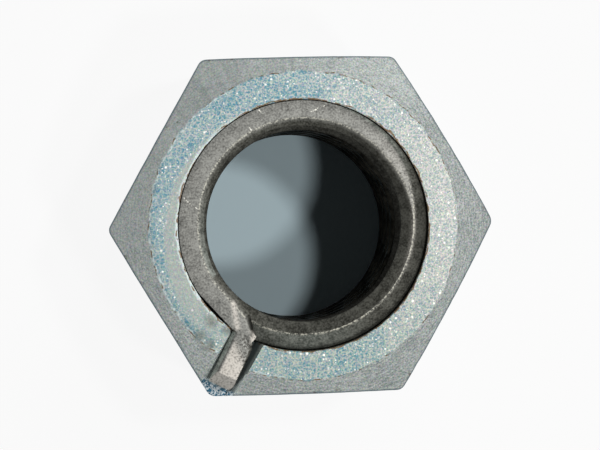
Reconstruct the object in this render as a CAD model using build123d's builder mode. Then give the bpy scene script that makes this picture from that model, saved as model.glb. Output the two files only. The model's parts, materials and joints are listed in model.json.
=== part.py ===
"""Hexagon lock nut with an inset locking spring, thread size M20 coarse.

The nut stands on its bearing face, with the origin at that face's centre and +Z up.
Two corners of the hexagon lie on the X axis.  The spring lies in a seat in the top
face, and its tang lies in a slot that runs out through the corner at slot_angle.
"""

import os
from math import cos, radians, tan

from build123d import *

# ---------------------------------------------------------------- nut (millimetres)
across_flats = 30.0
nut_height = 18.0
corner_radius = 0.8          # forged vertical corners
land_diameter = 27.2         # flat ring on the top face
bearing_diameter = 28.2      # flat ring on the bearing face
chamfer_angle = 30.0         # slope of both turned chamfers, degrees
rim_break = 0.15             # worn edge round the mouth of the spring seat

core_diameter = 17.5         # bore at the thread's crests
countersink_diameter = 21.4
countersink_angle = 120.0    # included angle at the bearing face

# ------------------------------------------------------------------- spring wire
coil_pitch = 2.5             # same as the bolt's thread
coil_turns = 2.25
coil_gap = 0.06              # between the flush turn and the turn below it
nose_angle = 60.0            # included angle of the wire's inner edge, as the thread's
nose_width = 0.31            # blunt inner edge, an eighth of the pitch
back_width = 0.5             # blunt outer edge
back_depth = 1.17            # radial size from the wire's ridge to its back
core_clearance = 0.05        # from the thread's crests to the wire's nose
seat_clearance = 0.07        # from the wire's back to the spring seat
wire_sink = 0.03             # the wire's middle below the top face in the flush turn
flat_width = 1.6             # flat top of the flush turn
edge_slope = 30.0            # slope of the broken inner edge of the flat, degrees

# ------------------------------------------ the flush turn, measured clockwise from the slot
lead_travel = 30.0           # where the flush turn leaves the seat's wall
level_travel = 100.0         # where it starts to sink
ramp_travel = 60.0           # over which it takes up the coil's pitch
section_step = 15.0          # between the sections of the coil

# --------------------------------------------------------------- slot and tang
slot_angle = 238.5           # direction of the slot, which leaves by the corner at 240
slot_offset = 0.5            # from the nut's axis to the middle of the slot
slot_width = 2.8             # at the top face
slot_draft = 12.0            # slope of the slot's walls, degrees
slot_depth = 1.9
mouth_flare = 0.45           # eased corners where the slot meets the seat
floor_clearance = 0.4        # from the coil's end to the floor of the seat
lead_radius = 3.0            # small bend where the flush turn leaves the seat's wall
lead_turn = 13.0             # degrees
bend_radius = 1.3            # along the middle of the wire
tang_skew = 4.0              # degrees that the tang is out of line with the slot
tang_offset = -0.17          # from the slot's middle to the tang's, where it leaves the seat
tang_reach = 15.95           # from the nut's axis to the tang's tip
back_break = 0.38            # sloping edge of the tang's top on the wire's back
nose_break = 0.24            # and on its nose
side_slope = 34.0            # their slope, degrees
tip_length = 1.05            # sloping end of the tang
tip_depth = 0.26

# ------------------------------------------------------------------ sizes that follow
core_radius = core_diameter / 2
land_radius = land_diameter / 2
bearing_radius = bearing_diameter / 2
corner_reach = across_flats / 2 / cos(radians(30))
chamfer_rise = tan(radians(chamfer_angle))

flush_drop = coil_pitch * (360 - level_travel - ramp_travel / 2) / 360
wire_height = flush_drop - coil_gap
ridge_depth = (wire_height - nose_width) / 2 / tan(radians(nose_angle / 2))
nose_radius = core_radius + core_clearance
ridge_radius = nose_radius + ridge_depth
back_radius = ridge_radius + back_depth
wire_width = back_radius - nose_radius
seat_radius = back_radius + seat_clearance

coil_travel = 360 * coil_turns


def sink(travel):
    """How far the wire's middle has sunk: level, then an easy ramp, then the pitch."""
    slope = coil_pitch / 360
    along = travel - level_travel
    if along <= 0:
        return 0.0
    if along <= ramp_travel:
        return slope * along**2 / (2 * ramp_travel)
    return slope * (along - ramp_travel / 2)


seat_depth = wire_sink + sink(coil_travel) + wire_height / 2 + floor_clearance
countersink_depth = (countersink_diameter / 2 - core_radius) / tan(radians(countersink_angle / 2))

top_lift = Vector(0, 0, nut_height)
slot_way = Vector(1, 0, 0).rotate(Axis.Z, slot_angle)
slot_side = slot_way.rotate(Axis.Z, 90)
slot_middle = slot_side * slot_offset + top_lift

# ---------------------------------------------------------------------- nut body
with BuildPart() as nut_body:
    with BuildSketch() as hexagon:
        RegularPolygon(across_flats / 2, 6, major_radius=False)
        fillet(hexagon.vertices(), corner_radius)
    extrude(amount=nut_height)

    # both ends turned to a cone, which leaves a flat ring on each face
    with BuildSketch(Plane.XZ) as turned:
        with BuildLine():
            Polyline(
                (0, 0),
                (bearing_radius, 0),
                (corner_reach, (corner_reach - bearing_radius) * chamfer_rise),
                (corner_reach, nut_height - (corner_reach - land_radius) * chamfer_rise),
                (land_radius, nut_height),
                (0, nut_height),
                close=True,
            )
        make_face()
    revolve(axis=Axis.Z, mode=Mode.INTERSECT)

    # thread core, spring seat and the countersink that leads the bolt in
    with Locations((0, 0, nut_height)):
        CounterBoreHole(core_radius, seat_radius, seat_depth)
    with BuildSketch(Plane.XZ) as mouths:
        with BuildLine():
            Polyline(
                (0, 0),
                (countersink_diameter / 2, 0),
                (core_radius, countersink_depth),
                (0, countersink_depth),
                close=True,
            )
        make_face()
        with BuildLine():
            Polyline(
                (0, nut_height),
                (seat_radius + rim_break, nut_height),
                (seat_radius, nut_height - rim_break),
                (0, nut_height - rim_break),
                close=True,
            )
        make_face()
    revolve(axis=Axis.Z, mode=Mode.SUBTRACT)

    # tang slot, with walls that lean apart, from the seat out through the corner
    with BuildSketch(Plane(slot_middle, x_dir=slot_side, z_dir=slot_way)) as slot:
        floor_half = slot_width / 2 - slot_depth * tan(radians(slot_draft))
        with BuildLine():
            Polyline(
                (-slot_width / 2, 0),
                (slot_width / 2, 0),
                (floor_half, -slot_depth),
                (-floor_half, -slot_depth),
                close=True,
            )
        make_face()
    extrude(amount=corner_reach, mode=Mode.SUBTRACT)
    with BuildSketch(Plane(slot_middle, x_dir=slot_way, z_dir=(0, 0, 1))) as mouth:
        mouth_half = slot_width / 2 + mouth_flare
        with BuildLine():
            Polyline(
                (seat_radius - 2 * mouth_flare, mouth_half),
                (seat_radius - mouth_flare / 2, mouth_half),
                (seat_radius + mouth_flare, slot_width / 2),
                (seat_radius + mouth_flare, -slot_width / 2),
                (seat_radius - mouth_flare / 2, -mouth_half),
                (seat_radius - 2 * mouth_flare, -mouth_half),
                close=True,
            )
        make_face()
    extrude(amount=-slot_depth, mode=Mode.SUBTRACT)
nut_body.part.label = "nut_body"

# ------------------------------------------------------------------- lock spring
wire_middle = nut_height - wire_sink


def radial_plane(travel, height):
    """Plane across the coil at a travel from the slot: x outwards, y up, z along the wire."""
    outwards = Vector(1, 0, 0).rotate(Axis.Z, slot_angle - travel)
    return Plane(origin=(0, 0, height), x_dir=outwards, z_dir=outwards.rotate(Axis.Z, -90))


def wire_section(plane):
    """Face of the diamond wire on a radial plane: blunt nose, two ridges and blunt back."""
    nose, ridge, back = nose_width / 2, wire_height / 2, back_width / 2
    upper = [(nose_radius, nose), (ridge_radius, ridge), (back_radius, back)]
    lower = [(across, -up) for across, up in reversed(upper)]
    with BuildSketch(plane) as section:
        with BuildLine():
            Polyline(upper + lower, close=True)
        make_face()
    return section.sketch


def worn_edge(plane, edge, width, slope):
    """Face that takes off a top edge, from edge by width to past the wire's side."""
    fall = abs(width) * tan(radians(slope))
    with BuildSketch(plane) as sliver:
        with BuildLine():
            Polyline(
                (edge, 0),
                (edge + width, -fall),
                (edge + width, wire_height),
                (edge, wire_height),
                close=True,
            )
        make_face()
    return sliver.sketch


# plan of the wire's middle, from the flush turn out along the slot
lead_start = Vector((nose_radius + back_radius) / 2, 0).rotate(Axis.Z, slot_angle - lead_travel)
lead_way = Vector(0, 1).rotate(Axis.Z, slot_angle - lead_travel)
tang_way = slot_way.rotate(Axis.Z, tang_skew)
tang_side = slot_side.rotate(Axis.Z, tang_skew)
tang_root = slot_way * seat_radius + slot_side * (slot_offset + tang_offset)
tang_tip = tang_root + tang_way * (tang_reach - seat_radius)
bend_turn = 90 - lead_travel + lead_turn - tang_skew
bend_setback = bend_radius * tan(radians(bend_turn / 2))

with BuildPart() as lock_spring:
    # coil: the same section carried round, first level and then sinking
    steps = round((coil_travel - lead_travel) / section_step)
    travels = [lead_travel + (coil_travel - lead_travel) * step / steps for step in range(steps + 1)]
    loft([wire_section(radial_plane(travel, wire_middle - sink(travel))) for travel in travels])

    # the wire's end: away from the wall, round the bend and out along the slot
    with BuildLine(Plane.XY.offset(wire_middle)) as end_path:
        lead = JernArc(lead_start, lead_way, lead_radius, lead_turn)
        tang_line = Line(tang_root - tang_way * seat_radius, tang_tip, mode=Mode.PRIVATE)
        corner = IntersectingLine(lead @ 1, lead % 1, tang_line, mode=Mode.PRIVATE) @ 1
        run = Line(lead @ 1, corner - (lead % 1) * bend_setback)
        bend = JernArc(run @ 1, run % 1, bend_radius, -bend_turn)
        tang = Line(bend @ 1, tang_tip)
    sweep(wire_section(radial_plane(lead_travel, wire_middle)), path=end_path.wires()[0])

    # ground flush with the nut's top face
    split(bisect_by=Plane.XY.offset(nut_height), keep=Keep.BOTTOM)

    # inner edge of the flat, worn round the flush turn and on round the bend
    flat_edge = back_radius - flat_width
    past_nose = -1.2 * (flat_edge - nose_radius)
    inner_edge = worn_edge(radial_plane(lead_travel, nut_height), flat_edge, past_nose, edge_slope)
    revolve(inner_edge, axis=Axis.Z, revolution_arc=-270, mode=Mode.SUBTRACT)
    sweep(inner_edge, path=Wire([lead, run, bend]), mode=Mode.SUBTRACT)

    # tang: both top edges worn and the tip cut to a slope
    bend_end = Plane((bend @ 1) + Vector(0, 0, wire_sink), x_dir=tang_side, z_dir=tang_way)
    nose_edge = worn_edge(bend_end, wire_width / 2 - nose_break, 2 * nose_break, side_slope)
    back_edge = worn_edge(bend_end, back_break - wire_width / 2, -2 * back_break, side_slope)
    extrude(nose_edge.faces() + back_edge.faces(), amount=tang.length, mode=Mode.SUBTRACT)
    with BuildSketch(Plane(tang_tip + top_lift, x_dir=tang_way, z_dir=-tang_side)):
        with BuildLine():
            Polyline(
                (-tip_length, 0),
                (tip_length, -2 * tip_depth),
                (tip_length, wire_height),
                (-tip_length, wire_height),
                close=True,
            )
        make_face()
    extrude(amount=wire_width, both=True, mode=Mode.SUBTRACT)
lock_spring.part.label = "lock_spring"

os.makedirs("parts", exist_ok=True)
export_step(nut_body.part, "parts/nut_body.step")
export_step(lock_spring.part, "parts/lock_spring.step")
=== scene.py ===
"""Hexagon lock nut with an inset locking spring: the visual model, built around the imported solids.

Lengths are in millimetres and become metres where a mesh is made; a material's own numbers are metres.
"""

import json

import bpy
import mathutils
import numpy as np
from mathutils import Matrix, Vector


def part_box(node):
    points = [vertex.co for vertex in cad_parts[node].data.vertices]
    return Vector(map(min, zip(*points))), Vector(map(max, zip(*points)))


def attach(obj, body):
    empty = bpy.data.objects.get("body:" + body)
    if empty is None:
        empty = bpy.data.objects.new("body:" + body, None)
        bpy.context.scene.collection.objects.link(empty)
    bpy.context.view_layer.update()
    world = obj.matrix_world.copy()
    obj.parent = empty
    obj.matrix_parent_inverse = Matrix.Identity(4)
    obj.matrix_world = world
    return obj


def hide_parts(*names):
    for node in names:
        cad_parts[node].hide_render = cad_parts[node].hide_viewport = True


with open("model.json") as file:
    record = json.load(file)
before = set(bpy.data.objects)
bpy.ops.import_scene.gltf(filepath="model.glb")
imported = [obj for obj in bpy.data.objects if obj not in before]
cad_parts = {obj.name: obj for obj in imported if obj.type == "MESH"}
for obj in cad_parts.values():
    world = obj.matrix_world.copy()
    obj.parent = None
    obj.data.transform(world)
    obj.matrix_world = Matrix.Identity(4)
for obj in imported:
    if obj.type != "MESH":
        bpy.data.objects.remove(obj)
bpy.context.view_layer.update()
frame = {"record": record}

# =================================================================== nut body
# Hexagon nut, hot forged from carbon steel, turned at both ends, tapped M20 coarse and
# zinc plated.  The top face carries a turned seat for the spring and a milled slot for
# its tang, which runs out through one corner.
nut_height = 1000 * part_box("nut_body")[1].z
half_flats = 1000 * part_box("nut_body")[1].y
corner_radius = 0.8
land_radius = 13.6
bearing_radius = 14.1
mouth_radius = 10.7
chamfer_rise = np.tan(np.radians(30))
thread = next(m for m in frame["record"]["mounts"] if m["name"] == "thread")
crest_radius = thread["dims"]["r_mm"]
thread_pitch = 2.5
root_radius = crest_radius + 1.25
thread_middle = 9.4
root_flat, flank_span = 0.086, 0.289  # half the root's flat and one flank, as shares of the pitch
seat_radius = 11.103
seat_floor = 12.079
rim_break = 0.07
edge_break = 0.12
slot_angle = np.radians(238.5)
slot_offset = 0.5
slot_half = 1.4
slot_floor_half = 0.996
slot_depth = 1.9
mouth_flare = 0.45
wall_shift, end_shift = 0.28, 0.12


def value_noise(points, size, seed):
    """Random heights from -1 to 1 on a cubic lattice of the given size, eased between its corners."""
    cell = np.asarray(points) / size
    base = np.floor(cell).astype(int)
    ease = (cell - base) ** 2 * (3 - 2 * (cell - base))
    lattice = np.random.default_rng(seed).uniform(-1, 1, (32, 32, 32))
    height = 0
    for corner in np.ndindex(2, 2, 2):
        share = np.prod(np.where(corner, ease, 1 - ease), axis=-1)
        spot = (base + corner) % 32
        height = height + share * lattice[spot[..., 0], spot[..., 1], spot[..., 2]]
    return height


def hexagon_reach(angle):
    """Distance from the axis to the rounded hexagon: a flat's line, or the corner's arc near 0, 60, 120..."""
    sixth = np.pi / 3
    turn = np.mod(angle, sixth) - sixth / 2
    flat = half_flats / np.cos(turn)
    off_corner = sixth / 2 - np.abs(turn)
    middle = (half_flats - corner_radius) / np.cos(sixth / 2)
    spare = corner_radius**2 - (middle * np.sin(off_corner)) ** 2
    arc = middle * np.cos(off_corner) + np.sqrt(np.maximum(spare, 0))
    half_side = half_flats * np.tan(sixth / 2) - corner_radius * np.tan(sixth / 2)
    return np.where(half_flats * np.tan(np.abs(turn)) > half_side, arc, flat)


# The columns of the grid go once round the nut: across the slot's floor, up one wall, round the
# top face and down the other wall.  share runs from -1 to 1 across the slot, rise from 0 at its
# floor to 1 at the top face, and round_share from 0 to 1 round the nut.
floor_share = np.linspace(-1, 1, 9)
wall_rise = np.linspace(0, 1, 6)[1:]
edge_steps = np.array([0.0004, 0.001, 0.002, 0.0034])
around = np.concatenate([edge_steps, np.linspace(0.005, 0.995, 568), 1 - edge_steps[::-1]])
share = np.concatenate([floor_share, np.ones(5), np.ones(len(around)), -np.ones(5)])
rise = np.concatenate([np.zeros(9), wall_rise, np.ones(len(around)), wall_rise[::-1]])
round_share = np.concatenate([np.zeros(14), around, np.ones(5)])
on_round = np.concatenate([np.zeros(14), np.ones(len(around)), np.zeros(5)]) > 0


def column_angle(reach):
    """Angle of each column at a distance from the axis: beside the slot a column keeps its offset from
    the slot's middle, so its angle is the slot's plus asin(offset / distance).  The slot flares at its
    mouth, and one wall was cut wider than the other, most at its open end."""
    flare = np.clip((seat_radius + mouth_flare - reach) / (1.5 * mouth_flare), 0, 1) * mouth_flare
    half = slot_floor_half + rise * (slot_half + flare - slot_floor_half)
    wider = wall_shift * np.clip((reach - seat_radius) / 0.5, 0, 1)
    wider = rise * (wider + end_shift * np.clip((reach - land_radius) / 1.5, 0, 1))
    left = slot_angle + np.arcsin((slot_offset + half + wider) / reach)
    right = slot_angle + np.arcsin((slot_offset - half) / reach)
    beside = slot_angle + np.arcsin((slot_offset + share * half + wider * (share > 0)) / reach)
    return np.where(on_round, left + round_share * (right + 2 * np.pi - left), beside)


reach = np.full(len(share), half_flats)
for _ in range(12):
    reach = hexagon_reach(column_angle(reach))

# worn more on one side: the turned edge of the land is soft towards the slot
wear_angle = np.radians(205)


def top_height(radius, angle):
    """Top face: flat land and cone, and no higher than the slot's walls.  The fall is worn * log(1 +
    exp(the cone's fall / worn)), which softens the land's edge, and noise nicks that edge."""
    worn = 0.01 + 0.05 * np.clip(np.cos(angle - wear_angle), 0, 1) ** 2
    around_land = np.stack([land_radius * np.cos(angle), land_radius * np.sin(angle), 0 * angle], axis=-1)
    nicked = land_radius + 0.06 * value_noise(around_land, 1.1, 3) + 0.10 * value_noise(around_land, 0.4, 4)
    cone = worn * np.logaddexp(0, (radius - nicked) * chamfer_rise / worn)
    face = nut_height - cone
    slot = nut_height - slot_depth * (1 - rise)
    return np.where(rise < 1, np.minimum(face, slot), face)


def thread_radius(angle, height):
    """Right-hand thread: crest, 60 degree flanks and root repeat each pitch along the axis and
    climb one pitch a turn; the countersink at the bearing face cuts it back."""
    phase = np.mod(height / thread_pitch - angle / (2 * np.pi), 1)
    flank = np.clip((np.abs(phase - 0.5) - root_flat) / flank_span, 0, 1)
    groove = root_radius - (root_radius - crest_radius) * flank
    cone = mouth_radius - height / np.tan(np.radians(30))
    return np.maximum(groove, cone)


def rows(start, end, count):
    """Even shares from start to end, the last one left out."""
    return np.linspace(start, end, count, endpoint=False)[:, None]


# rows of the grid, from the countersink out over the bearing face, up the sides, in over the top
# face and down the bore; a height of None is the top face's own
wall_angle = column_angle(reach)
bottom_edge = (reach - bearing_radius) * chamfer_rise
top_edge = top_height(reach, wall_angle)
sections = []
radius = mouth_radius + rows(0, 1, 4) * (bearing_radius - mouth_radius)
sections.append((np.broadcast_to(radius, (4, len(share))), np.zeros((4, len(share)))))
radius = bearing_radius + rows(0, 1, 6) * (reach - edge_break - bearing_radius)
sections.append((radius, (radius - bearing_radius) * chamfer_rise))
turn = rows(0, 1, 4)
radius = reach - edge_break * (1 - turn) ** 2
height = bottom_edge + edge_break * (turn**2 - chamfer_rise * (1 - turn) ** 2)
sections.append((radius, height))
height = bottom_edge + edge_break + rows(0, 1, 8) * (top_edge - bottom_edge - 2 * edge_break)
sections.append((np.broadcast_to(reach, height.shape), height))
inside_edge = top_height(reach - edge_break, column_angle(reach - edge_break))
radius = reach - edge_break * turn**2
height = (1 - turn) ** 2 * (top_edge - edge_break) + 2 * turn * (1 - turn) * top_edge
height = height + turn**2 * inside_edge
sections.append((radius, height))
radius = reach - edge_break + rows(0, 1, 26) * (land_radius + edge_break - reach)
sections.append((radius, None))
radius = land_radius + rows(0, 1, 18) * (seat_radius + rim_break - land_radius)
sections.append((np.broadcast_to(radius, (18, len(share))), None))
turn = rows(0, 1, 4) * np.pi / 2
radius = np.broadcast_to(seat_radius + rim_break * (1 - np.sin(turn)), (4, len(share)))
slot_height = nut_height - slot_depth * (1 - rise)
height = np.minimum(nut_height - rim_break * (1 - np.cos(turn)), slot_height)
sections.append((radius, height))
bore_from = sum(len(radius) for radius, height in sections)
rim_height = np.minimum(nut_height - rim_break, slot_height)
height = rim_height + rows(0, 1, 10) * (seat_floor - rim_height)
sections.append((np.broadcast_to(seat_radius, height.shape), height))
inner = thread_radius(column_angle(np.full(len(share), root_radius)), seat_floor)
radius = seat_radius + rows(0, 1, 3) * (inner - seat_radius)
sections.append((radius, np.full_like(radius, seat_floor)))
height = np.broadcast_to(seat_floor - rows(0, 1, 78) * seat_floor, (78, len(share)))
sections.append((thread_radius(column_angle(np.full(len(share), thread_middle)), height), height))

radii, heights = [], []
for radius, height in sections:
    angle = column_angle(radius)
    radii.append(radius)
    heights.append(top_height(radius, angle) if height is None else height)
radii, heights = np.concatenate(radii), np.concatenate(heights)
angles = column_angle(radii)
nut_points = np.stack([radii * np.cos(angles), radii * np.sin(angles), heights], axis=-1)

# the forged faces are slightly uneven: they lie up to 0.1 mm inside the true hexagon
uneven = 0.025 * (1 + value_noise(nut_points, 4.5, 5)) + 0.012 * (1 + value_noise(nut_points, 1.3, 6))
outer_share = np.clip(radii - land_radius - 0.3, 0, 1)
nut_points[..., :2] *= (1 - uneven * outer_share / radii)[..., None]


def ring_mesh(name, points, closed, marks):
    """Mesh of a grid of points whose columns close on themselves, and whose rows do too if closed;
    otherwise its two ends are closed by one face each, and its columns run the other way round, so that
    the faces look outwards in both.  marks gives named values for the points."""
    count, across = points.shape[:2]
    index = np.arange(count * across).reshape(count, across)
    ahead = np.roll(index, -1, axis=0) if closed else index[1:]
    here = index if closed else index[:-1]
    quads = np.stack([here, np.roll(here, -1, axis=1), np.roll(ahead, -1, axis=1), ahead], axis=-1)
    if closed:
        faces = quads.reshape(-1, 4).tolist()
    else:
        faces = quads[..., ::-1].reshape(-1, 4).tolist() + [index[0].tolist(), index[-1, ::-1].tolist()]
    mesh = bpy.data.meshes.new(name)
    mesh.from_pydata((points.reshape(-1, 3) / 1000).tolist(), [], faces)
    for mark, values in marks.items():
        values = np.broadcast_to(values, points.shape[:2]).ravel()
        mesh.attributes.new(mark, "FLOAT", "POINT").data.foreach_set("value", values.astype(np.float32))
    mesh.shade_smooth()
    piece = bpy.data.objects.new(name, mesh)
    bpy.context.scene.collection.objects.link(piece)
    return piece


# for the material: distance from the hexagon's top edge, and shares on the cone, down the slot and
# on its far wall
upper = heights > nut_height / 2
by_slot = heights > nut_height - slot_depth - 0.3
marks = {
    "from_edge": np.where(upper, np.hypot(reach - radii, np.minimum(heights - top_edge, 0)), 9),
    "on_cone": np.clip((reach - radii) / 0.1, 0, 1) * (radii > land_radius - 0.5) * upper,
    "slot_depth": (1 - rise) * by_slot * (radii > seat_radius - 0.01),
    "far_wall": (1 - rise) * (share > 0) * by_slot,
}
nut = ring_mesh("plated_nut", nut_points, closed=True, marks=marks)
nut.data.set_sharp_from_angle(angle=np.radians(32))
in_bore = np.arange(len(nut.data.polygons)) >= bore_from * len(share)
nut.data.polygons.foreach_set("material_index", in_bore.astype(np.int32))


def linear(code):
    """Linear colour of an sRGB hex value: each channel taken back through the sRGB curve."""
    part = np.array([int(code[at : at + 2], 16) for at in (1, 3, 5)]) / 255
    return (*np.where(part <= 0.04045, part / 12.92, ((part + 0.055) / 1.055) ** 2.4), 1.0)


def add(tree, kind, inputs=None, out=0, **settings):
    """Adds a node with its settings and gives one of its outputs, or the node itself if out is None;
    inputs gives a value or another node's output for a socket."""
    made = tree.nodes.new(kind)
    for name, value in settings.items():
        setattr(made, name, value)
    for socket, value in (inputs or {}).items():
        if isinstance(value, bpy.types.NodeSocket):
            tree.links.new(value, made.inputs[socket])
        else:
            made.inputs[socket].default_value = value
    return made if out is None else made.outputs[out]


in_colour = {"out": 2, "data_type": "RGBA"}  # settings of a Mix node that mixes colours


def new_material(name):
    """An empty node material with its output node."""
    material = bpy.data.materials.new(name)
    material.use_nodes = True
    tree = material.node_tree
    tree.nodes.clear()
    return material, tree, add(tree, "ShaderNodeOutputMaterial", out=None)


# zinc plate, blue passivated, over grit-blasted forged steel: dull grey and grainy on the
# forged faces, pale blue and sparkling with crystals on the turned land
plate, tree, output = new_material("blue_zinc_plate")
place = add(tree, "ShaderNodeTexCoord", out="Object")
across = add(tree, "ShaderNodeSeparateXYZ", {0: place}, out=None).outputs
flat_place = add(tree, "ShaderNodeVectorMath", {0: place, 1: (1, 1, 0)}, operation="MULTIPLY")
from_axis = add(tree, "ShaderNodeVectorMath", {0: flat_place}, out="Value", operation="LENGTH")
fine = add(tree, "ShaderNodeTexNoise", {"Vector": place, "Scale": 1000 / 0.17, "Detail": 2.0})
grain = add(tree, "ShaderNodeTexNoise", {"Vector": place, "Scale": 1000 / 0.30, "Detail": 3.0})
patch = add(tree, "ShaderNodeTexNoise", {"Vector": place, "Scale": 1000 / 1.1, "Detail": 3.0})
broad = add(tree, "ShaderNodeTexNoise", {"Vector": place, "Scale": 1000 / 5.0, "Detail": 2.0})
warp = add(tree, "ShaderNodeTexNoise", {"Vector": place, "Scale": 1000 / 0.5, "Detail": 1.0}, out=1)
ragged = add(tree, "ShaderNodeMath", {0: patch, 1: 0.00060, 2: from_axis}, operation="MULTIPLY_ADD")
ragged = add(tree, "ShaderNodeMath", {0: ragged, 1: 0.00030}, operation="SUBTRACT")
on_land = add(
    tree, "ShaderNodeMapRange", {0: ragged, 1: (land_radius + 0.10) / 1000, 2: (land_radius + 0.02) / 1000}
)

# handled smooth on one side: the land most near 200 degrees, the cone near 140
calms = []
for angle, start, most in ((200, 0.001, 0.50), (140, 0.0, 0.44)):
    way = (np.cos(np.radians(angle)), np.sin(np.radians(angle)), 0)
    toward_it = add(tree, "ShaderNodeVectorMath", {0: place, 1: way}, out="Value", operation="DOT_PRODUCT")
    calms.append(add(tree, "ShaderNodeMapRange", {0: toward_it, 1: start, 2: 0.013, 4: most}))
calm = add(tree, "ShaderNodeMix", {0: on_land, 2: calms[1], 3: calms[0]})

# the land: crystals of a dark and a pale tone, 0.17 mm across (real ones are finer), made yellower and
# paler on one side of the nut by painted light
lean = add(tree, "ShaderNodeMath", {0: across[1], 1: 0.2, 2: across[0]}, operation="MULTIPLY_ADD")
lean = add(tree, "ShaderNodeMath", {0: broad, 1: 0.008, 2: lean}, operation="MULTIPLY_ADD")
# share of painted light, rising towards one side of the nut
painted_light_side = add(tree, "ShaderNodeMapRange", {0: lean, 1: 0.005, 2: 0.0160})
slanted = add(tree, "ShaderNodeMath", {0: across[1], 1: 0.09, 2: ragged}, operation="MULTIPLY_ADD")
inner = add(
    tree, "ShaderNodeMapRange", {0: slanted, 1: (land_radius - 1.20) / 1000, 2: (land_radius - 1.45) / 1000}
)
left_side = add(tree, "ShaderNodeMapRange", {0: lean, 1: 0.001, 2: -0.004, 3: 0.1, 4: 1.0})
above_slot = add(tree, "ShaderNodeMapRange", {0: across[1], 1: -0.0100, 2: -0.0065, 3: 0.25, 4: 1.0})
rubbed_side = add(tree, "ShaderNodeMath", {0: left_side, 1: above_slot}, operation="MULTIPLY")
inner = add(tree, "ShaderNodeMath", {0: inner, 1: rubbed_side}, operation="MULTIPLY")
crystal_share = add(tree, "ShaderNodeMapRange", {0: fine, 1: 0.33, 2: 0.67})
crystal_share = add(tree, "ShaderNodeMix", {0: calm, 2: crystal_share, 3: 0.5})
crystal_share = add(tree, "ShaderNodeMath", {0: patch, 1: 0.9, 2: crystal_share}, operation="MULTIPLY_ADD")
crystal_share = add(tree, "ShaderNodeMath", {0: crystal_share, 1: 0.60}, operation="SUBTRACT")
wavy = add(tree, "ShaderNodeVectorMath", {0: warp, 1: (0.0004,) * 3, 2: place}, operation="MULTIPLY_ADD")
web = add(
    tree,
    "ShaderNodeTexVoronoi",
    {"Vector": wavy, "Scale": 1000 / 0.42},
    out="Distance",
    feature="DISTANCE_TO_EDGE",
)
web = add(tree, "ShaderNodeMapRange", {0: web, 1: 0.16, 2: 0.02, 4: 0.45})
crystal_share = add(tree, "ShaderNodeMath", {0: crystal_share, 1: web}, operation="ADD", use_clamp=True)
dark_crystal = add(tree, "ShaderNodeMix", {0: painted_light_side, 6: linear("#56899a"), 7: linear("#8c9d9d")}, **in_colour)
pale_crystal = add(tree, "ShaderNodeMix", {0: painted_light_side, 6: linear("#b5bab4"), 7: linear("#c7c4be")}, **in_colour)
land = add(tree, "ShaderNodeMix", {0: crystal_share, 6: dark_crystal, 7: pale_crystal}, **in_colour)

# painted shade: the land a little darker towards negative y
painted_shade_low = add(tree, "ShaderNodeMapRange", {0: across[1], 1: -0.001, 2: -0.010})
land = add(
    tree, "ShaderNodeMix", {0: painted_shade_low, 6: land, 7: linear("#f6f4ef")}, **in_colour, blend_type="MULTIPLY"
)

# painted glints: bright crystal faces, up to 0.2 mm across, in some cells of a 0.5 mm lattice and a
# finer one
for cell, least in ((0.50, 0.42), (0.28, 0.45)):
    lattice = add(tree, "ShaderNodeTexVoronoi", {"Vector": place, "Scale": 1000 / cell}, out=None).outputs
    dot = add(tree, "ShaderNodeMapRange", {0: lattice["Distance"], 1: 0.27, 2: 0.13})
    chance = add(tree, "ShaderNodeSeparateColor", {0: lattice["Color"]})
    chosen = add(tree, "ShaderNodeMapRange", {0: chance, 1: least, 2: 0.95})
    glint_dot_share = add(tree, "ShaderNodeMath", {0: dot, 1: chosen}, operation="MULTIPLY")
    land = add(tree, "ShaderNodeMix", {0: glint_dot_share, 6: land, 7: linear("#f2f0ea")}, **in_colour)

# its inner part is rubbed smooth and pale on one side, with a bright line at the seat's rim
smooth_share = add(tree, "ShaderNodeMath", {0: inner, 1: 0.68}, operation="MULTIPLY")
land = add(tree, "ShaderNodeMix", {0: smooth_share, 6: land, 7: linear("#a9ada6")}, **in_colour)
to_rim = add(
    tree,
    "ShaderNodeMapRange",
    {0: ragged, 1: (seat_radius + 0.297) / 1000, 2: (seat_radius + 0.157) / 1000, 4: 0.55},
)
to_rim = add(tree, "ShaderNodeMath", {0: to_rim, 1: rubbed_side}, operation="MULTIPLY")
land = add(tree, "ShaderNodeMix", {0: to_rim, 6: land, 7: linear("#dfe8e8")}, **in_colour)

# the forged faces: grain with a few dark pits, 0.15 mm across (blasting leaves finer grain too); on
# the cone it is drawn out round the nut into streaks 1 mm long and 0.15 mm wide
turn_angle = add(tree, "ShaderNodeMath", {0: across[1], 1: across[0]}, operation="ARCTAN2")
arc_length = add(tree, "ShaderNodeMath", {0: turn_angle, 1: 15.0}, operation="MULTIPLY")
ring_count = add(tree, "ShaderNodeMath", {0: from_axis, 1: 1000 / 0.15}, operation="MULTIPLY")
drawn = add(tree, "ShaderNodeCombineXYZ", {0: arc_length, 1: ring_count, 2: 0.0})
streak = add(tree, "ShaderNodeTexNoise", {"Vector": drawn, "Scale": 1.0, "Detail": 3.0})
grit = add(
    tree, "ShaderNodeTexNoise", {"Vector": place, "Scale": 1000 / 0.12, "Detail": 2.0}, out=None
).outputs
on_cone = add(tree, "ShaderNodeAttribute", out="Fac", attribute_name="on_cone")
streak = add(tree, "ShaderNodeMath", {0: streak, 1: 0.5}, operation="SUBTRACT")
streak = add(tree, "ShaderNodeMath", {0: streak, 1: on_cone}, operation="MULTIPLY")
grain_share = add(tree, "ShaderNodeMath", {0: streak, 1: 0.65, 2: fine}, operation="MULTIPLY_ADD")
grain_share = add(tree, "ShaderNodeMath", {0: grit[0], 1: 0.55, 2: grain_share}, operation="MULTIPLY_ADD")
grain_share = add(tree, "ShaderNodeMath", {0: broad, 1: 0.35, 2: grain_share}, operation="MULTIPLY_ADD")
grain_share = add(tree, "ShaderNodeMapRange", {0: grain_share, 1: 0.68, 2: 1.21})
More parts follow.
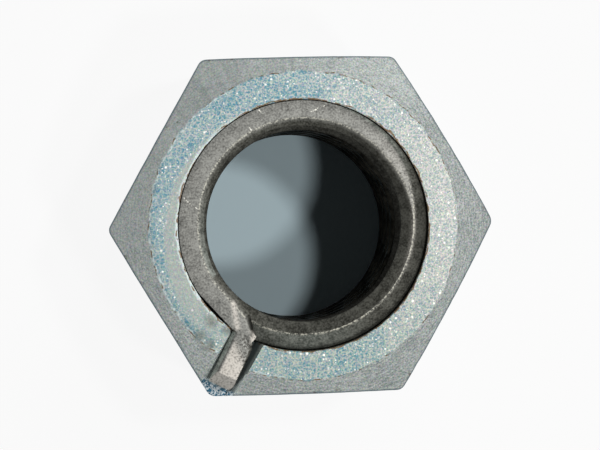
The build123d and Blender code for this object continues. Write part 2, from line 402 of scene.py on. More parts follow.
grain_share = add(tree, "ShaderNodeMix", {0: calm, 2: grain_share, 3: 0.5})
forged = add(tree, "ShaderNodeMix", {0: grain_share, 6: linear("#848c8b"), 7: linear("#c6cbc8")}, **in_colour)
lattice = add(tree, "ShaderNodeTexVoronoi", {"Vector": place, "Scale": 1000 / 1.5}, out=None).outputs
pit = add(tree, "ShaderNodeMapRange", {0: lattice["Distance"], 1: 0.085, 2: 0.045, 4: 0.75})
chance = add(tree, "ShaderNodeSeparateColor", {0: lattice["Color"]})
pit = add(tree, "ShaderNodeMath", {0: pit, 1: chance}, operation="MULTIPLY")
forged = add(tree, "ShaderNodeMix", {0: pit, 6: forged, 7: linear("#3d3935")}, **in_colour)
colour = add(tree, "ShaderNodeMix", {0: on_land, 6: forged, 7: land}, **in_colour)
colour = add(tree, "ShaderNodeMix", {0: 0.38, 6: colour, 7: grit[1]}, **in_colour, blend_type="OVERLAY")

# burnished line along the land's outer edge, painted brighter as a highlight, and a thin dull line along
# the hexagon's edge
to_line = add(tree, "ShaderNodeMath", {0: ragged, 1: (land_radius - 0.02) / 1000}, operation="SUBTRACT")
to_line = add(tree, "ShaderNodeMath", {0: to_line}, operation="ABSOLUTE")
burnish_and_highlight = add(tree, "ShaderNodeMapRange", {0: to_line, 1: 0.00014, 2: 0.00005})
worn_here = add(tree, "ShaderNodeMapRange", {0: grain, 1: 0.44, 2: 0.58, 3: 0.15, 4: 0.85})
burnish_and_highlight = add(tree, "ShaderNodeMath", {0: burnish_and_highlight, 1: worn_here}, operation="MULTIPLY")
burnish_and_highlight = add(tree, "ShaderNodeMath", {0: burnish_and_highlight, 1: left_side}, operation="MULTIPLY")
colour = add(tree, "ShaderNodeMix", {0: burnish_and_highlight, 6: colour, 7: linear("#ccd7d6")}, **in_colour)
from_edge = add(tree, "ShaderNodeAttribute", out="Fac", attribute_name="from_edge")
dull = add(tree, "ShaderNodeMapRange", {0: from_edge, 1: 0.20, 2: 0.04, 4: 0.8})
colour = add(tree, "ShaderNodeMix", {0: dull, 6: colour, 7: linear("#46616d")}, **in_colour)

# the slot is dull: painted light makes its floor and near wall pale, painted shade darkens its far wall,
# and painted glints make bright crystals at its open end
slot_depth_share = add(tree, "ShaderNodeAttribute", out="Fac", attribute_name="slot_depth")
in_slot = add(tree, "ShaderNodeMapRange", {0: slot_depth_share, 1: 0.02, 2: 0.20})
open_end = add(tree, "ShaderNodeMapRange", {0: from_axis, 1: 0.0159, 2: 0.0163})
# painted light: a pale tone for the slot's floor and near wall
slot_tone = add(
    tree, "ShaderNodeMix", {0: grain_share, 6: linear("#aebcb6"), 7: linear("#dbe4df")}, **in_colour
)
glint = add(tree, "ShaderNodeMath", {0: grain, 1: 0.6, 2: fine}, operation="MULTIPLY_ADD")
glint = add(tree, "ShaderNodeMapRange", {0: glint, 1: 0.77, 2: 0.86})
glints = add(tree, "ShaderNodeMix", {0: glint, 6: linear("#2b6e8c"), 7: linear("#eefaff")}, **in_colour)
far_wall = add(tree, "ShaderNodeAttribute", out="Fac", attribute_name="far_wall")
# painted shade on the far wall, darkest towards the slot's floor
far_wall_painted_shade = add(tree, "ShaderNodeMapRange", {0: far_wall, 1: 0.05, 2: 0.40, 4: 0.80})
slot_tone = add(tree, "ShaderNodeMix", {0: far_wall_painted_shade, 6: slot_tone, 7: linear("#2c3a3e")}, **in_colour)
slot_tone = add(tree, "ShaderNodeMix", {0: open_end, 6: slot_tone, 7: glints}, **in_colour)
colour = add(tree, "ShaderNodeMix", {0: in_slot, 6: colour, 7: slot_tone}, **in_colour)

# stains beside the slot: where each lies and how far it spreads, in millimetres
for x, y, spread in ((-8.4, -8.2, 0.75), (-9.4, -9.5, 0.7), (-7.0, -9.0, 0.65), (-8.6, -10.4, 0.75)):
    away = add(
        tree,
        "ShaderNodeVectorMath",
        {0: place, 1: (x / 1000, y / 1000, nut_height / 1000)},
        out="Value",
        operation="DISTANCE",
    )
    away = add(tree, "ShaderNodeMath", {0: patch, 1: spread / 1000, 2: away}, operation="MULTIPLY_ADD")
    stain = add(
        tree, "ShaderNodeMapRange", {0: away, 1: 1.5 * spread / 1000, 2: 0.7 * spread / 1000, 4: 0.65}
    )
    colour = add(tree, "ShaderNodeMix", {0: stain, 6: colour, 7: linear("#6a6c64")}, **in_colour)

# rust where the plate is thin: a broken line along the seat's rim and spots at the land's outer edge
# and at the hexagon's edge
blotch = add(tree, "ShaderNodeTexNoise", {"Vector": place, "Scale": 1000 / 0.7, "Detail": 4.0})
rings = (seat_radius + 0.05, 0.09, 0.40), (seat_radius + 0.16, 0.10, 0.60), (land_radius + 0.05, 0.07, 0.50)
for ring, width, start in rings:
    to_ring = add(tree, "ShaderNodeMath", {0: ragged, 1: ring / 1000}, operation="SUBTRACT")
    to_ring = add(tree, "ShaderNodeMath", {0: to_ring}, operation="ABSOLUTE")
    near = add(tree, "ShaderNodeMapRange", {0: to_ring, 1: width / 1000, 2: width / 2500, 4: 0.85})
    spots = add(tree, "ShaderNodeMapRange", {0: blotch, 1: start, 2: start + 0.1})
    rust = add(tree, "ShaderNodeMath", {0: near, 1: spots}, operation="MULTIPLY")
    colour = add(tree, "ShaderNodeMix", {0: rust, 6: colour, 7: linear("#6a4c22")}, **in_colour)
near = add(tree, "ShaderNodeMapRange", {0: from_edge, 1: 0.8, 2: 0.1})
spots = add(tree, "ShaderNodeMapRange", {0: blotch, 1: 0.63, 2: 0.68, 4: 0.6})
rust = add(tree, "ShaderNodeMath", {0: near, 1: spots}, operation="MULTIPLY")
colour = add(tree, "ShaderNodeMix", {0: rust, 6: colour, 7: linear("#5f564e")}, **in_colour)

roughness = add(tree, "ShaderNodeMapRange", {0: on_land, 3: 0.68, 4: 0.63})
bright_metal = add(tree, "ShaderNodeMapRange", {0: in_slot, 3: 1.0, 4: 0.1})
relief = add(tree, "ShaderNodeMath", {0: grain, 1: 1.6, 2: fine}, operation="MULTIPLY_ADD")
relief = add(tree, "ShaderNodeMath", {0: pit, 1: -1.5, 2: relief}, operation="MULTIPLY_ADD")
relief_share = add(tree, "ShaderNodeMath", {0: 1.0, 1: calm}, operation="SUBTRACT")
relief = add(tree, "ShaderNodeMath", {0: relief, 1: relief_share}, operation="MULTIPLY")
bumps = add(tree, "ShaderNodeBump", {"Height": relief, "Strength": 1.0, "Distance": 0.00002})
surface = add(
    tree,
    "ShaderNodeBsdfPrincipled",
    {"Base Color": colour, "Metallic": bright_metal, "Roughness": roughness, "Normal": bumps},
)
tree.links.new(surface, output.inputs[0])
nut.data.materials.append(plate)

# cut steel of the seat and the thread: thinly plated, brown-black with old oil and with painted shade down
# in the seat and bore
bore, tree, output = new_material("oiled_and_shaded_cut_steel")
place = add(tree, "ShaderNodeTexCoord", out="Object")
height = add(tree, "ShaderNodeSeparateXYZ", {0: place}, out=2)
stain = add(tree, "ShaderNodeTexNoise", {"Vector": place, "Scale": 1000 / 0.5, "Detail": 4.0})
stain_share = add(tree, "ShaderNodeMapRange", {0: stain, 1: 0.35, 2: 0.68})
# brown-black: old oil, and painted shade for the depth of the seat and bore
oil_and_shade_tone = add(tree, "ShaderNodeMix", {0: stain_share, 6: linear("#161614"), 7: linear("#2e2d28")}, **in_colour)
ragged = add(tree, "ShaderNodeMath", {0: stain, 1: 0.0005, 2: height}, operation="MULTIPLY_ADD")
plated = add(
    tree, "ShaderNodeMapRange", {0: ragged, 1: (nut_height - 0.9) / 1000, 2: (nut_height + 0.1) / 1000}
)
colour = add(tree, "ShaderNodeMix", {0: plated, 6: oil_and_shade_tone, 7: linear("#6f7269")}, **in_colour)
rusty = add(
    tree,
    "ShaderNodeMapRange",
    {0: ragged, 1: (nut_height - 0.05) / 1000, 2: (nut_height + 0.1) / 1000, 4: 0.9},
)
colour = add(tree, "ShaderNodeMix", {0: rusty, 6: colour, 7: linear("#80593a")}, **in_colour)
bumps = add(tree, "ShaderNodeBump", {"Height": stain, "Strength": 0.6, "Distance": 0.00003})
surface = add(
    tree,
    "ShaderNodeBsdfPrincipled",
    {"Base Color": colour, "Metallic": 1.0, "Roughness": 0.48, "Normal": bumps},
)
tree.links.new(surface, output.inputs[0])
nut.data.materials.append(bore)
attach(nut, "root")
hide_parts("nut_body")

# ================================================================ lock spring
# Diamond-section spring steel wire, coiled to the thread's pitch and ground flush with
# the top face over its first half turn; its end is bent outwards and lies in the slot.
coil_pitch = 2.5
coil_turns = 2.25
nose_radius = 8.80
ridge_radius = 9.863
back_radius = 11.033
nose_half = 0.155
back_half = 0.25
ridge_half = 0.7685
wire_sink = 0.03
flat_edge = back_radius - 1.6
edge_slope = np.tan(np.radians(30))
lead_travel = 30
level_travel = 100
ramp_travel = 60
lead_radius, lead_turn = 3.0, np.radians(13)
bend_radius = 1.3
tang_skew = np.radians(4)
tang_offset = -0.17
tang_reach = 15.95
back_break, nose_break = 0.38, 0.24
side_slope = np.tan(np.radians(34))
tip_length, tip_depth = 1.05, 0.26
middle_radius = (nose_radius + back_radius) / 2


def toward(angle):
    """Unit vector at an angle in plan."""
    return np.stack([np.cos(angle), np.sin(angle)], axis=-1)


# plan of the wire's end: an arc off the seat's wall, a straight run, the bend and the tang; legs are
# the distances along it at which each of them ends
lead_angle = slot_angle - np.radians(lead_travel)
heading = lead_angle + np.pi / 2
tang_heading = slot_angle + tang_skew
bend_turn = heading + lead_turn - tang_heading
lead_length = lead_radius * lead_turn
lead_end = (
    middle_radius * toward(lead_angle)
    + lead_radius * (toward(heading + np.pi / 2) - toward(heading + np.pi / 2 + lead_turn))
)
tang_root = toward(slot_angle) * seat_radius + toward(slot_angle + np.pi / 2) * (slot_offset + tang_offset)
way = toward(heading + lead_turn)
tang_way = toward(tang_heading)
along = np.linalg.solve(np.stack([way, -tang_way], axis=-1), tang_root - lead_end)
setback = bend_radius * np.tan(bend_turn / 2)
run_length = along[0] - setback
bend_length = bend_radius * bend_turn
corner = lead_end + along[0] * way
tang_length = np.dot(tang_root + tang_way * (tang_reach - seat_radius) - corner, tang_way) - setback
legs = np.cumsum([lead_length, run_length, bend_length, tang_length])

steps = np.concatenate(
    [
        np.linspace(0, legs[1], 60, endpoint=False),
        np.linspace(legs[1], legs[2], 40, endpoint=False),
        np.linspace(legs[2], legs[3], 70),
    ]
)
turned = (
    heading
    + lead_turn * np.clip(steps / lead_length, 0, 1)
    - bend_turn * np.clip((steps - legs[1]) / bend_length, 0, 1)
)
half_turned = np.interp((steps[1:] + steps[:-1]) / 2, steps, turned)
paces = toward(half_turned) * np.diff(steps)[:, None]
end_way = middle_radius * toward(lead_angle) + np.concatenate([[[0, 0]], np.cumsum(paces, axis=0)])
end_outward = toward(turned - np.pi / 2)

coil_travel = np.radians(np.linspace(360 * coil_turns, lead_travel, 620, endpoint=False))
travel_deg = np.degrees(coil_travel)
coil_way = middle_radius * toward(slot_angle - coil_travel)
coil_outward = toward(slot_angle - coil_travel)
slope = coil_pitch / 360
along_ramp = travel_deg - level_travel
eased = slope * along_ramp**2 / (2 * ramp_travel)
steady = slope * (along_ramp - ramp_travel / 2)
coil_sink = np.where(along_ramp <= 0, 0, np.where(along_ramp <= ramp_travel, eased, steady))

wire_way = np.concatenate([coil_way, end_way])
outward = np.concatenate([coil_outward, end_outward])
sink = np.concatenate([coil_sink, np.zeros(len(steps))])
tang_share = np.concatenate([np.zeros(len(coil_sink)), np.clip((steps - legs[1]) / bend_length, 0, 1)])
far = 99.0  # stands for "nowhere near" in the coil
to_tip = np.concatenate([np.full(len(coil_sink), far), legs[3] - steps])

# corners of the wire's section at each station, as distance from the axis and height
full_top = wire_sink + sink
top = np.minimum(full_top, ridge_half) - tip_depth / tip_length * np.maximum(tip_length - to_tip, 0)
flank = (ridge_half - back_half) / (back_radius - ridge_radius)
inner_flank = (ridge_half - nose_half) / (ridge_radius - nose_radius)
side_back = back_radius - np.maximum(tang_share * back_break - (full_top - top) / side_slope, 0)
flat_out = np.minimum(side_back, back_radius - np.maximum(top - back_half, 0) / flank)
flat_out = np.maximum(flat_out, ridge_radius + 0.03)
coil_in = np.maximum(flat_edge, nose_radius + (top - nose_half) / inner_flank)
nose_worn = nose_break - 0.15 * np.clip((4.2 - to_tip) / 1.8, 0, 1)
tang_in = nose_radius + np.maximum(nose_worn - (full_top - top) / side_slope, 0.05)
bend_share = 4 * tang_share * (1 - tang_share)
flat_in = coil_in + (tang_in - coil_in) * tang_share + 0.22 * bend_share
flat_in = np.maximum(flat_in, nose_radius + 0.12 + (-top - nose_half) / inner_flank)
flat_in = np.minimum(flat_in, ridge_radius - 0.03)
inner_slope = edge_slope + (side_slope - edge_slope) * tang_share
slope_end_height = top - (flat_in - nose_radius) * inner_slope
crossing = (slope_end_height - inner_slope * nose_radius + nose_half - inner_flank * nose_radius) / -(
    inner_slope + inner_flank
)
meets_flank = slope_end_height < -nose_half
inner_radius = np.where(meets_flank, crossing, nose_radius)
flank_height = -nose_half - (inner_radius - nose_radius) * inner_flank
inner_height = np.where(meets_flank, flank_height, slope_end_height)
lower_radius = np.maximum(inner_radius + 0.04, nose_radius)
lower_height = -nose_half - (lower_radius - nose_radius) * inner_flank
back_top = np.minimum(back_half, top - (back_radius - flat_out) * side_slope * tang_share - 0.04)
back_top = np.maximum(back_top, 0.01 - back_half)
wide = np.ones_like(top)
corners = np.stack(
    [
        np.stack([flat_in, top], axis=-1),
        np.stack([inner_radius, inner_height], axis=-1),
        np.stack([lower_radius, lower_height], axis=-1),
        np.stack([ridge_radius * wide, -ridge_half * wide], axis=-1),
        np.stack([back_radius * wide, -back_half * wide], axis=-1),
        np.stack([back_radius * wide, back_top], axis=-1),
        np.stack([flat_out, top], axis=-1),
    ],
    axis=1,
)
# how far each corner is rounded, and how many points lie between it and the next
rounding = np.array([0.25, 0.06, 0.06, 0.12, 0.10, 0.06, 0.05])
edge_points = np.array([5, 1, 4, 4, 1, 4, 9])


def rounded_section(corners, rounding, edge_points):
    """Ring of points for each station: every corner becomes a quadratic curve between points set back
    along its two edges, and every edge between corners gets even points."""
    ahead = np.roll(corners, -1, axis=1) - corners
    length = np.linalg.norm(ahead, axis=-1, keepdims=True)
    unit = ahead / length
    back_length = np.roll(length, 1, axis=1)
    set_back = np.minimum(rounding[None, :, None], 0.42 * np.minimum(length, back_length))
    start = corners - np.roll(unit, 1, axis=1) * set_back
    end = corners + unit * set_back
    parts = []
    for at in range(corners.shape[1]):
        for share in np.linspace(0, 1, 4):
            eased = (1 - share) ** 2 * start[:, at] + 2 * share * (1 - share) * corners[:, at]
            parts.append(eased + share**2 * end[:, at])
        after = (at + 1) % corners.shape[1]
        for share in np.linspace(0, 1, edge_points[at] + 2)[1:-1]:
            parts.append(end[:, at] + share * (start[:, after] - end[:, at]))
    return np.stack(parts, axis=1)


def bell(distance, width):
    """Bell-shaped share: 1 where the distance is 0, falling off as exp(-(distance / width) squared)."""
    return np.exp(-((distance / width) ** 2))


# at the bend the wire's stretched side is drawn in
ring = rounded_section(corners, rounding, edge_points)
past_bend = np.concatenate([np.full(len(coil_sink), far), steps - legs[2]])
drawn_in = 0.27 * bend_share + 0.25 * bell(past_bend, 0.5)
nose_share = np.clip((ridge_radius - ring[..., 0]) / (ridge_radius - nose_radius), 0, 1)

# the coil grips tighter where it has sunk and past the lead-in, with its back left on the seat's wall
coil_grip = 0.15 * bell(travel_deg - 60, 55) + 0.27 * np.clip((travel_deg - 200) / 90, 0, 1)
grip = np.concatenate([coil_grip, coil_grip[-1] * np.clip(1 - steps / legs[1], 0, 1)])
grip_share = np.clip((back_radius - ring[..., 0]) / (back_radius - ridge_radius), 0, 1)
across = ring[..., 0] + drawn_in[:, None] * nose_share - grip[:, None] * grip_share - middle_radius
lift = ring[..., 1] + (nut_height - wire_sink - sink)[:, None]
plan = wire_way[:, None, :] + outward[:, None, :] * across[..., None]
spring_points = np.concatenate([plan, lift[..., None]], axis=-1)

# a lumpy burr stands out of the wire's side where it was bent, level with its top
corner_start = np.concatenate([[0], np.cumsum(edge_points + 4)])
burr_middle = np.array([-4.85, -9.95, nut_height - 0.20])
near_burr = np.exp(-np.sum(((spring_points - burr_middle) / [0.42, 0.62, 0.50]) ** 2, axis=-1))
lumps = 0.5 + 0.9 * value_noise(spring_points, 0.34, 9) + 0.6 * value_noise(spring_points, 0.17, 10)
lumps = np.maximum(lumps, 0)
inner_side = np.zeros(ring.shape[1])
inner_side[: corner_start[2]] = 1
burr = near_burr * inner_side * (tang_share > 0)[:, None] * lumps
spring_points[..., 0] += 0.22 * burr
spring_points[..., 2] = np.minimum(spring_points[..., 2] + 0.30 * burr, nut_height - 0.001)


def nearness(points, start, end, width):
    """Bell-shaped share, 1 on the straight line between two places in plan, falling off over the width."""
    start, end = np.array(start), np.array(end)
    reached = np.clip(np.sum((points - start) * (end - start), axis=-1) / np.sum((end - start) ** 2), 0, 1)
    away = np.linalg.norm(points - start - reached[..., None] * (end - start), axis=-1)
    return bell(away, width)


# points of the section on the ground flat, and how far each lies from its outer edge to its inner
on_flat = np.zeros(ring.shape[1])
on_flat[corner_start[6] :] = 1
on_flat[:4] = [0.95, 0.6, 0.3, 0.1]
inward = np.zeros(ring.shape[1])
inward[corner_start[6] :] = np.linspace(0, 1, len(inward) - corner_start[6])
inward[:4] = 1

# a torn groove beside the burr
torn = nearness(spring_points[..., :2], (-5.42, -9.70), (-5.22, -10.55), 0.15) * (on_flat > 0.5)
spring_points[..., 2] -= 0.14 * torn

# rubbed bright, partly real wear and partly painted highlight and sheen: the bend's crease, the tang
# past a slanting line, its cut tip, two stretches of the coil, by the angle travelled back along it, and
# the burr
top_plan = spring_points[..., :2]
along_coil = np.concatenate([travel_deg, np.full(len(steps), -far)])[:, None]
wear_and_highlight = 0.85 * nearness(top_plan, (-6.42, -6.7), (-6.12, -8.8), 0.24)
past_line = np.clip((-1.12 * top_plan[..., 0] - 0.49 * top_plan[..., 1] - 11.7) / 0.9, 0, 1)
past_line *= np.clip((inward - 0.25) / 0.08, 0, 1)
wear_and_highlight += 0.92 * past_line * ((to_tip > tip_length + 0.03) & (tang_share > 0.5))[:, None] * on_flat
wear_and_highlight += 0.40 * (to_tip < tip_length)[:, None] * on_flat
wear_and_highlight += 0.22 * bell(along_coil - 205, 18) * on_flat
wear_and_highlight += 0.42 * bell(along_coil - 245, 20) * bell(ring[..., 0] - ridge_radius, 0.20) * (ring[..., 1] > 0)
wear_and_highlight += 1.2 * burr
# dark specks over a patch of pits, and painted shadow along the torn groove beside the burr
specks_and_shade = np.maximum(nearness(top_plan, (-5.50, -10.0), (-5.75, -11.6), 0.42), 1.2 * torn)

# painted light (above 0) and painted shade (below 0) on stretches of the wire's outer and inner slopes
outer_points = slice(corner_start[5], corner_start[6] + 2)
inner_points = slice(2, corner_start[1] + 4)
outer_shade = 0.48 * bell(along_coil - 186, 28) + 0.45 * bell(along_coil - 330, 26)
outer_shade -= 0.45 * bell(along_coil - 246, 30)
inner_shade = 0.60 * bell(along_coil - 35, 30) - 0.62 * bell(along_coil - 205, 55)
inner_shade -= 0.35 * bell(along_coil - 335, 35)
in_bend = np.clip(5 * tang_share, 0, 1) * np.clip(5 * (1 - tang_share), 0, 1)
shade = np.zeros(ring.shape[:2])
shade[:, outer_points] = outer_shade + 0.95 * (tang_share > 0.9)[:, None]
shade[:, inner_points] = inner_shade - 0.85 * in_bend[:, None]

# painted highlight: a bright line along the flat's inner edge, and along the ridge where the flat has run out
edge_highlight = np.zeros(ring.shape[:2])
edge_highlight[:, :4] = [0.1, 0.85, 0.35, 0.0]
edge_highlight[tang_share > 0] = 0
ridge_share = np.clip((sink - 0.45) / 0.25, 0, 1)
edge_highlight[:, corner_start[6] : corner_start[6] + 4] = ridge_share[:, None]
marks = {
    "wear_and_highlight": wear_and_highlight,
    "edge_highlight": edge_highlight,
    "on_flat": on_flat,
    "inward": inward,
    "shade": shade,
    "specks_and_shade": specks_and_shade,
}
spring = ring_mesh("lock_spring_wire", spring_points, closed=False, marks=marks)
spring.data.set_sharp_from_angle(angle=np.radians(40))

# bare spring steel: ground on top, with stains, specks and scratches, and oiled dark elsewhere, with
# painted light and shade on its slopes and painted shade lower down; its finest grain is drawn 0.18 mm
# across, coarser than real
steel, tree, output = new_material("ground_spring_steel")
place = add(tree, "ShaderNodeTexCoord", out="Object")
height = add(tree, "ShaderNodeSeparateXYZ", {0: place}, out=2)
fine = add(tree, "ShaderNodeTexNoise", {"Vector": place, "Scale": 1000 / 0.18, "Detail": 3.0})
stain = add(tree, "ShaderNodeTexNoise", {"Vector": place, "Scale": 1000 / 0.9, "Detail": 4.0})
grime = add(tree, "ShaderNodeTexNoise", {"Vector": place, "Scale": 1000 / 0.40, "Detail": 3.0})
ground = add(
    tree, "ShaderNodeMapRange", {0: height, 1: (nut_height - 0.70) / 1000, 2: (nut_height - 0.10) / 1000}
)
on_flat_mark = add(tree, "ShaderNodeAttribute", out="Fac", attribute_name="on_flat")
ground = add(tree, "ShaderNodeMath", {0: ground, 1: on_flat_mark}, operation="MULTIPLY")
tone_share = add(tree, "ShaderNodeMath", {0: stain, 1: 0.55, 2: fine}, operation="MULTIPLY_ADD")
inward_mark = add(tree, "ShaderNodeAttribute", out="Fac", attribute_name="inward")
tone_share = add(tree, "ShaderNodeMath", {0: inward_mark, 1: 0.22, 2: tone_share}, operation="MULTIPLY_ADD")
tone_share = add(tree, "ShaderNodeMapRange", {0: tone_share, 1: 0.64, 2: 1.09})
flat_tone = add(
    tree, "ShaderNodeMix", {0: tone_share, 6: linear("#5c5c59"), 7: linear("#8f8f8a")}, **in_colour
)
side_share = add(tree, "ShaderNodeMath", {0: fine, 1: 1.2, 2: stain}, operation="MULTIPLY_ADD")
side_share = add(tree, "ShaderNodeMapRange", {0: side_share, 1: 0.85, 2: 1.35})
side_tone = add(
    tree, "ShaderNodeMix", {0: side_share, 6: linear("#3b3b36"), 7: linear("#6d6d66")}, **in_colour
)
# painted light and painted shade on the wire's slopes, read from the shade mark
shade_mark = add(tree, "ShaderNodeAttribute", out="Fac", attribute_name="shade")
paler = add(tree, "ShaderNodeMapRange", {0: shade_mark, 1: 0.0, 2: 1.0})
paler_tone = add(
    tree, "ShaderNodeMix", {0: side_share, 6: linear("#6f756f"), 7: linear("#a9afa8")}, **in_colour
)
side_tone = add(tree, "ShaderNodeMix", {0: paler, 6: side_tone, 7: paler_tone}, **in_colour)
darker = add(tree, "ShaderNodeMapRange", {0: shade_mark, 1: 0.0, 2: -1.0})
side_tone = add(tree, "ShaderNodeMix", {0: darker, 6: side_tone, 7: linear("#262623")}, **in_colour)
# painted shade: the wire darker from 1.3 mm below the top face down into the seat
painted_deep_shade = add(
    tree,
    "ShaderNodeMapRange",
    {0: height, 1: (nut_height - 1.3) / 1000, 2: (nut_height - 3.0) / 1000, 4: 0.8},
)
side_tone = add(tree, "ShaderNodeMix", {0: painted_deep_shade, 6: side_tone, 7: linear("#1c1c1a")}, **in_colour)
colour = add(tree, "ShaderNodeMix", {0: ground, 6: side_tone, 7: flat_tone}, **in_colour)

# rubbed metal, partly wear and partly painted highlight, on the bend, the tang and the burr, and a painted
# highlight line along the flat's inner edge and the ridge
wear_and_highlight_mark = add(tree, "ShaderNodeAttribute", out="Fac", attribute_name="wear_and_highlight")
spotted = add(tree, "ShaderNodeMapRange", {0: fine, 1: 0.34, 2: 0.52, 3: 0.45, 4: 1.0})
wear_and_highlight_share = add(tree, "ShaderNodeMath", {0: wear_and_highlight_mark, 1: spotted}, operation="MULTIPLY", use_clamp=True)
colour = add(tree, "ShaderNodeMix", {0: wear_and_highlight_share, 6: colour, 7: linear("#c3beb6")}, **in_colour)
# painted highlight along the flat's inner edge and the ridge, broken by grain
line = add(tree, "ShaderNodeAttribute", out="Fac", attribute_name="edge_highlight")
line = add(tree, "ShaderNodeMapRange", {0: line, 1: 0.45, 2: 1.0, 4: 0.68})
broken = add(tree, "ShaderNodeMapRange", {0: fine, 1: 0.46, 2: 0.57, 3: 0.05, 4: 1.0})
line = add(tree, "ShaderNodeMath", {0: line, 1: broken}, operation="MULTIPLY")
colour = add(tree, "ShaderNodeMix", {0: line, 6: colour, 7: linear("#cdcabb")}, **in_colour)

# dark specks, 0.1 mm across, and grime in patches
lattice = add(tree, "ShaderNodeTexVoronoi", {"Vector": place, "Scale": 1000 / 0.45}, out=None).outputs
speck = add(tree, "ShaderNodeMapRange", {0: lattice["Distance"], 1: 0.24, 2: 0.10})
dirty = add(tree, "ShaderNodeMapRange", {0: grime, 1: 0.52, 2: 0.66, 4: 0.8})
speck = add(tree, "ShaderNodeMath", {0: speck, 1: dirty}, operation="MULTIPLY")
lattice = add(tree, "ShaderNodeTexVoronoi", {"Vector": place, "Scale": 1000 / 0.28}, out=None).outputs
pore = add(tree, "ShaderNodeMapRange", {0: lattice["Distance"], 1: 0.30, 2: 0.12, 4: 0.7})
chance = add(tree, "ShaderNodeSeparateColor", {0: lattice["Color"]})
chance = add(tree, "ShaderNodeMapRange", {0: chance, 1: 0.62, 2: 0.9})
pore = add(tree, "ShaderNodeMath", {0: pore, 1: chance}, operation="MULTIPLY")
speck = add(tree, "ShaderNodeMath", {0: speck, 1: pore}, operation="MAXIMUM")
# dark specks where marked: pits, and painted shadow in the torn groove
specks_and_shade_mark = add(tree, "ShaderNodeAttribute", out="Fac", attribute_name="specks_and_shade")
fine_spot = add(tree, "ShaderNodeMapRange", {0: fine, 1: 0.53, 2: 0.41, 4: 0.62})
fine_spot = add(tree, "ShaderNodeMath", {0: fine_spot, 1: specks_and_shade_mark}, operation="MULTIPLY")
speck = add(tree, "ShaderNodeMath", {0: speck, 1: fine_spot}, operation="MAXIMUM")
colour = add(tree, "ShaderNodeMix", {0: speck, 6: colour, 7: linear("#33302b")}, **in_colour)

# scratches through the grime: where each starts, its direction, length and width in millimetres
for x, y, direction, length, width in (
    (-10.50, 2.75, -50, 1.0, 0.06),
    (-9.85, 1.98, -36, 0.7, 0.05),
    (0.75, 9.95, 24, 0.75, 0.07),
    (1.35, 10.22, 20, 0.9, 0.03),
    (-4.4, 8.45, 120, 0.35, 0.08),
    (-3.7, 10.35, -60, 0.6, 0.07),
):
    along = add(
        tree,
        "ShaderNodeMapping",
        {"Vector": place, "Location": (x / 1000, y / 1000, 0), "Rotation": (0, 0, np.radians(direction))},
        vector_type="TEXTURE",
    )
    split = add(tree, "ShaderNodeSeparateXYZ", {0: along}, out=None).outputs
    wave = add(tree, "ShaderNodeMath", {0: stain, 1: 0.0004, 2: split[1]}, operation="MULTIPLY_ADD")
    aside = add(tree, "ShaderNodeMath", {0: wave, 1: 0.0002}, operation="SUBTRACT")
    aside = add(tree, "ShaderNodeMath", {0: aside}, operation="ABSOLUTE")
    within = add(tree, "ShaderNodeMapRange", {0: aside, 1: width / 1000, 2: width / 2000, 4: 0.9})
    middle = add(tree, "ShaderNodeMath", {0: split[0], 1: length / 2000}, operation="SUBTRACT")
    middle = add(tree, "ShaderNodeMath", {0: middle}, operation="ABSOLUTE")
    inside = add(tree, "ShaderNodeMapRange", {0: middle, 1: length / 2000, 2: length / 2500})
    scratch = add(tree, "ShaderNodeMath", {0: within, 1: inside}, operation="MULTIPLY")
    scratch = add(tree, "ShaderNodeMath", {0: scratch, 1: broken}, operation="MULTIPLY")
    colour = add(tree, "ShaderNodeMix", {0: scratch, 6: colour, 7: linear("#e6e4da")}, **in_colour)

roughness = add(tree, "ShaderNodeMapRange", {0: tone_share, 3: 0.68, 4: 0.56})
bumps = add(tree, "ShaderNodeBump", {"Height": fine, "Strength": 0.7, "Distance": 0.00002})
surface = add(
    tree,
    "ShaderNodeBsdfPrincipled",
    {"Base Color": colour, "Metallic": 1.0, "Roughness": roughness, "Normal": bumps},
)
tree.links.new(surface, output.inputs[0])
spring.data.materials.append(steel)
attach(spring, "root")
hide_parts("lock_spring")

# ============================================================ floor and light
# White paper floor, which keeps the nut's shadow, in a pale room; two small lamps stand above the
# nut on its right, and a larger soft one on each side.
half_floor = 0.6


def seen_share(tree):
    """1 for rays from the camera, straight or by way of metal or glass, and 0 for light's own rays."""
    ray = add(tree, "ShaderNodeLightPath", out=None).outputs
    seen = ray["Is Camera Ray"]
    for kind in ("Is Glossy Ray", "Is Transmission Ray"):
        seen = add(tree, "ShaderNodeMath", {0: seen, 1: ray[kind]}, operation="MAXIMUM")
    return seen


floor_mesh = bpy.data.meshes.new("floor")
floor_corners = [(x * half_floor, y * half_floor, 0) for x, y in ((-1, -1), (1, -1), (1, 1), (-1, 1))]
floor_mesh.from_pydata(floor_corners, [], [(0, 1, 2, 3)])
floor = bpy.data.objects.new("floor", floor_mesh)
bpy.context.scene.collection.objects.link(floor)
paper, tree, output = new_material("white_paper_floor")
place = add(tree, "ShaderNodeTexCoord", out="Object")
from_middle = add(tree, "ShaderNodeVectorMath", {0: place}, out="Value", operation="LENGTH")
outside = add(tree, "ShaderNodeMapRange", {0: from_middle, 1: 0.0122, 2: 0.0135})
seen = seen_share(tree)
plain_share = add(tree, "ShaderNodeMath", {0: seen, 1: outside}, operation="MULTIPLY")
glow_share = add(tree, "ShaderNodeMath", {0: plain_share, 1: 0.9}, operation="MULTIPLY")
paper_tone = add(tree, "ShaderNodeMix", {0: outside, 6: linear("#d8eef5"), 7: linear("#f6f6f6")}, **in_colour)
matt = add(tree, "ShaderNodeBsdfDiffuse", {"Color": paper_tone})
white = add(tree, "ShaderNodeEmission", {"Color": (1, 1, 1, 1), "Strength": 1.0})
blend = add(tree, "ShaderNodeMixShader", {0: glow_share, 1: matt, 2: white})
tree.links.new(blend, output.inputs[0])
floor_mesh.materials.append(paper)

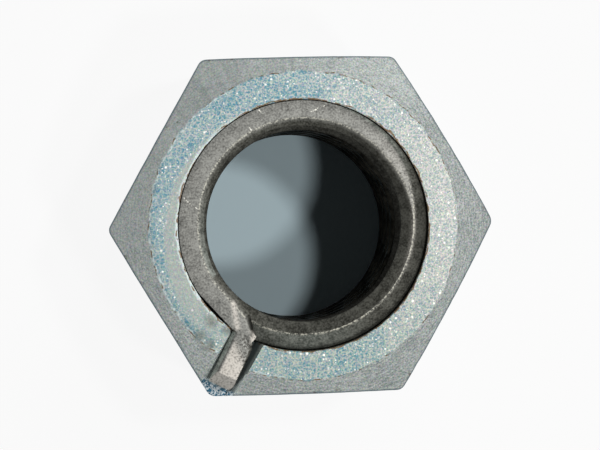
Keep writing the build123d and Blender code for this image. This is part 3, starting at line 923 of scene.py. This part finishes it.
world = bpy.data.worlds.new("pale_room")
world.use_nodes = True
tree = world.node_tree
tree.nodes.clear()
seen = seen_share(tree)
strength = add(tree, "ShaderNodeMapRange", {0: seen, 3: 0.06, 4: 0.60})
sky = add(tree, "ShaderNodeBackground", {"Color": (1, 1, 1, 1), "Strength": strength})
tree.links.new(sky, add(tree, "ShaderNodeOutputWorld", out=None).inputs[0])
bpy.context.scene.world = world


def lamp(name, azimuth, zenith, distance, size, power):
    """Disc lamp that points at the nut's top from a compass angle and an angle off the vertical."""
    light = bpy.data.lights.new(name, "AREA")
    light.shape = "DISK"
    light.size = size
    light.energy = power
    made = bpy.data.objects.new(name, light)
    azimuth, zenith = np.radians(azimuth), np.radians(zenith)
    away = np.array([np.sin(zenith) * np.cos(azimuth), np.sin(zenith) * np.sin(azimuth), np.cos(zenith)])
    made.location = away * distance + [0, 0, nut_height / 1000]
    made.rotation_euler = (0, zenith, azimuth)
    bpy.context.scene.collection.objects.link(made)


lamp("near_right_lamp", -40, 27.3, 0.25, 0.03, 0.165)
lamp("far_right_lamp", 23, 24.3, 0.25, 0.03, 0.165)
lamp("right_soft_lamp", 65, 60, 0.35, 0.20, 0.32)
lamp("left_soft_lamp", 225, 62, 0.40, 0.20, 0.12)

# the camera stands almost above the nut, a little to the left of it
lens = bpy.data.cameras.new("camera")
camera = bpy.data.objects.new("camera", lens)
lens.sensor_width = 36.0
lens.lens = 106.86
lens.clip_start = 0.01
tilt_y, tilt_x, roll = np.radians(5.0), np.radians(-0.15), np.radians(1.5)
turn_x = np.array([[1, 0, 0], [0, np.cos(tilt_x), -np.sin(tilt_x)], [0, np.sin(tilt_x), np.cos(tilt_x)]])
turn_y = np.array([[np.cos(tilt_y), 0, np.sin(tilt_y)], [0, 1, 0], [-np.sin(tilt_y), 0, np.cos(tilt_y)]])
turn_z = np.array([[np.cos(roll), -np.sin(roll), 0], [np.sin(roll), np.cos(roll), 0], [0, 0, 1]])
axes = (turn_x @ turn_y @ turn_z).T
view_distance = 0.157
place = axes @ np.array([-0.00036, 0.00003, view_distance]) + [0, 0, nut_height / 1000]
matrix = np.eye(4)
matrix[:3, :3] = axes
matrix[:3, 3] = place
camera.matrix_world = mathutils.Matrix(matrix.tolist())
bpy.context.scene.collection.objects.link(camera)
bpy.context.scene.camera = camera
bpy.context.scene.view_settings.view_transform = "Standard"
